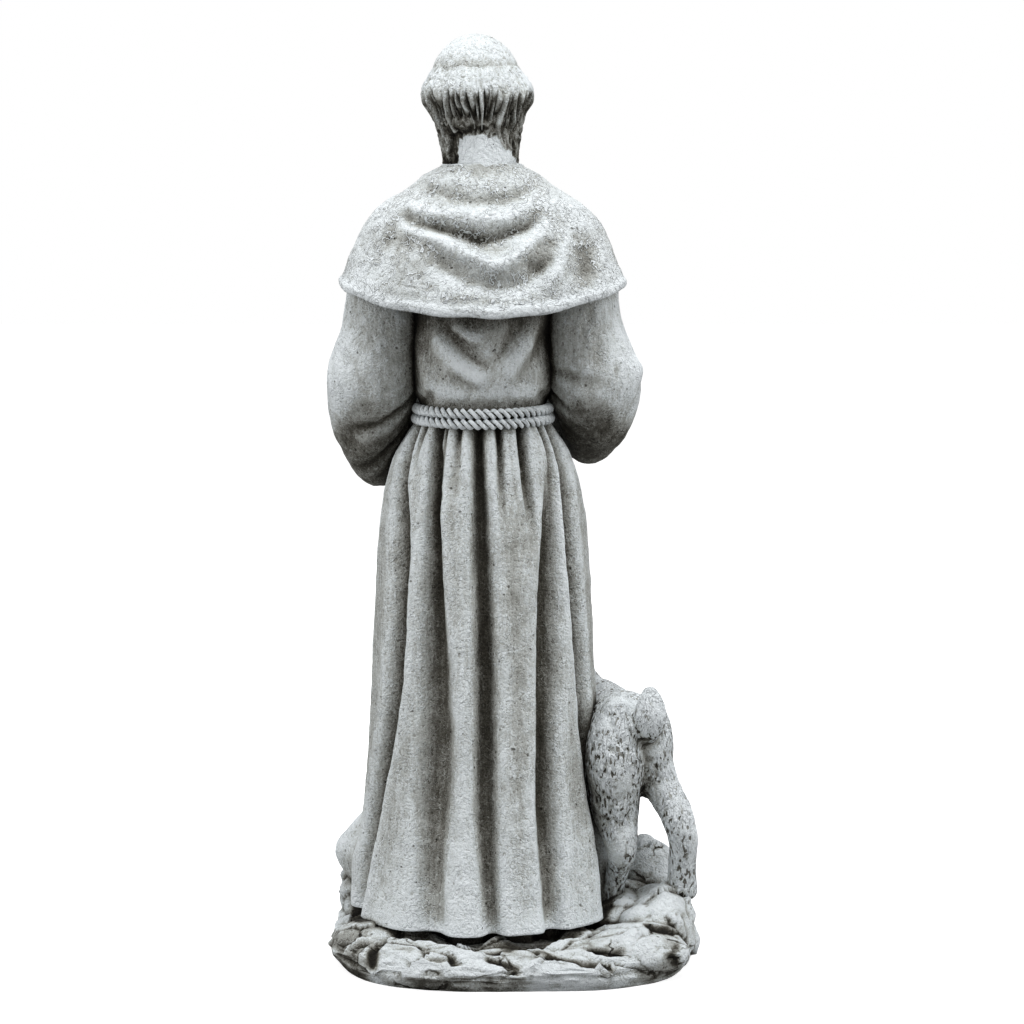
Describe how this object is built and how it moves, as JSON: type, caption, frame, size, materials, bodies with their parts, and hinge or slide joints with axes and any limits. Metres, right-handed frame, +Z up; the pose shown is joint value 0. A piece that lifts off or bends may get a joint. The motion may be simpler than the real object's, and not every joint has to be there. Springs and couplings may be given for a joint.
{
  "type": "saint statue",
  "caption": "Cast-stone garden statue of a standing bearded friar in a caped, rope-belted habit, hands folded, with a fawn at his side on an oval rock plinth.",
  "frame": {"origin": "middle of the plinth's flat underside", "axes": "+Z up, -Y the way the friar faces, +X to his left; the fawn stands at his right, on -X"},
  "size_m": [0.3099, 0.2777, 0.7597],
  "materials": {
    "cast_stone": "sandy cast concrete, dry-brushed pale grey over a dark patina in the recesses"
  },
  "bodies": {
    "root": {"saint_statue": "cast_stone"}
  },
  "joints": []
}
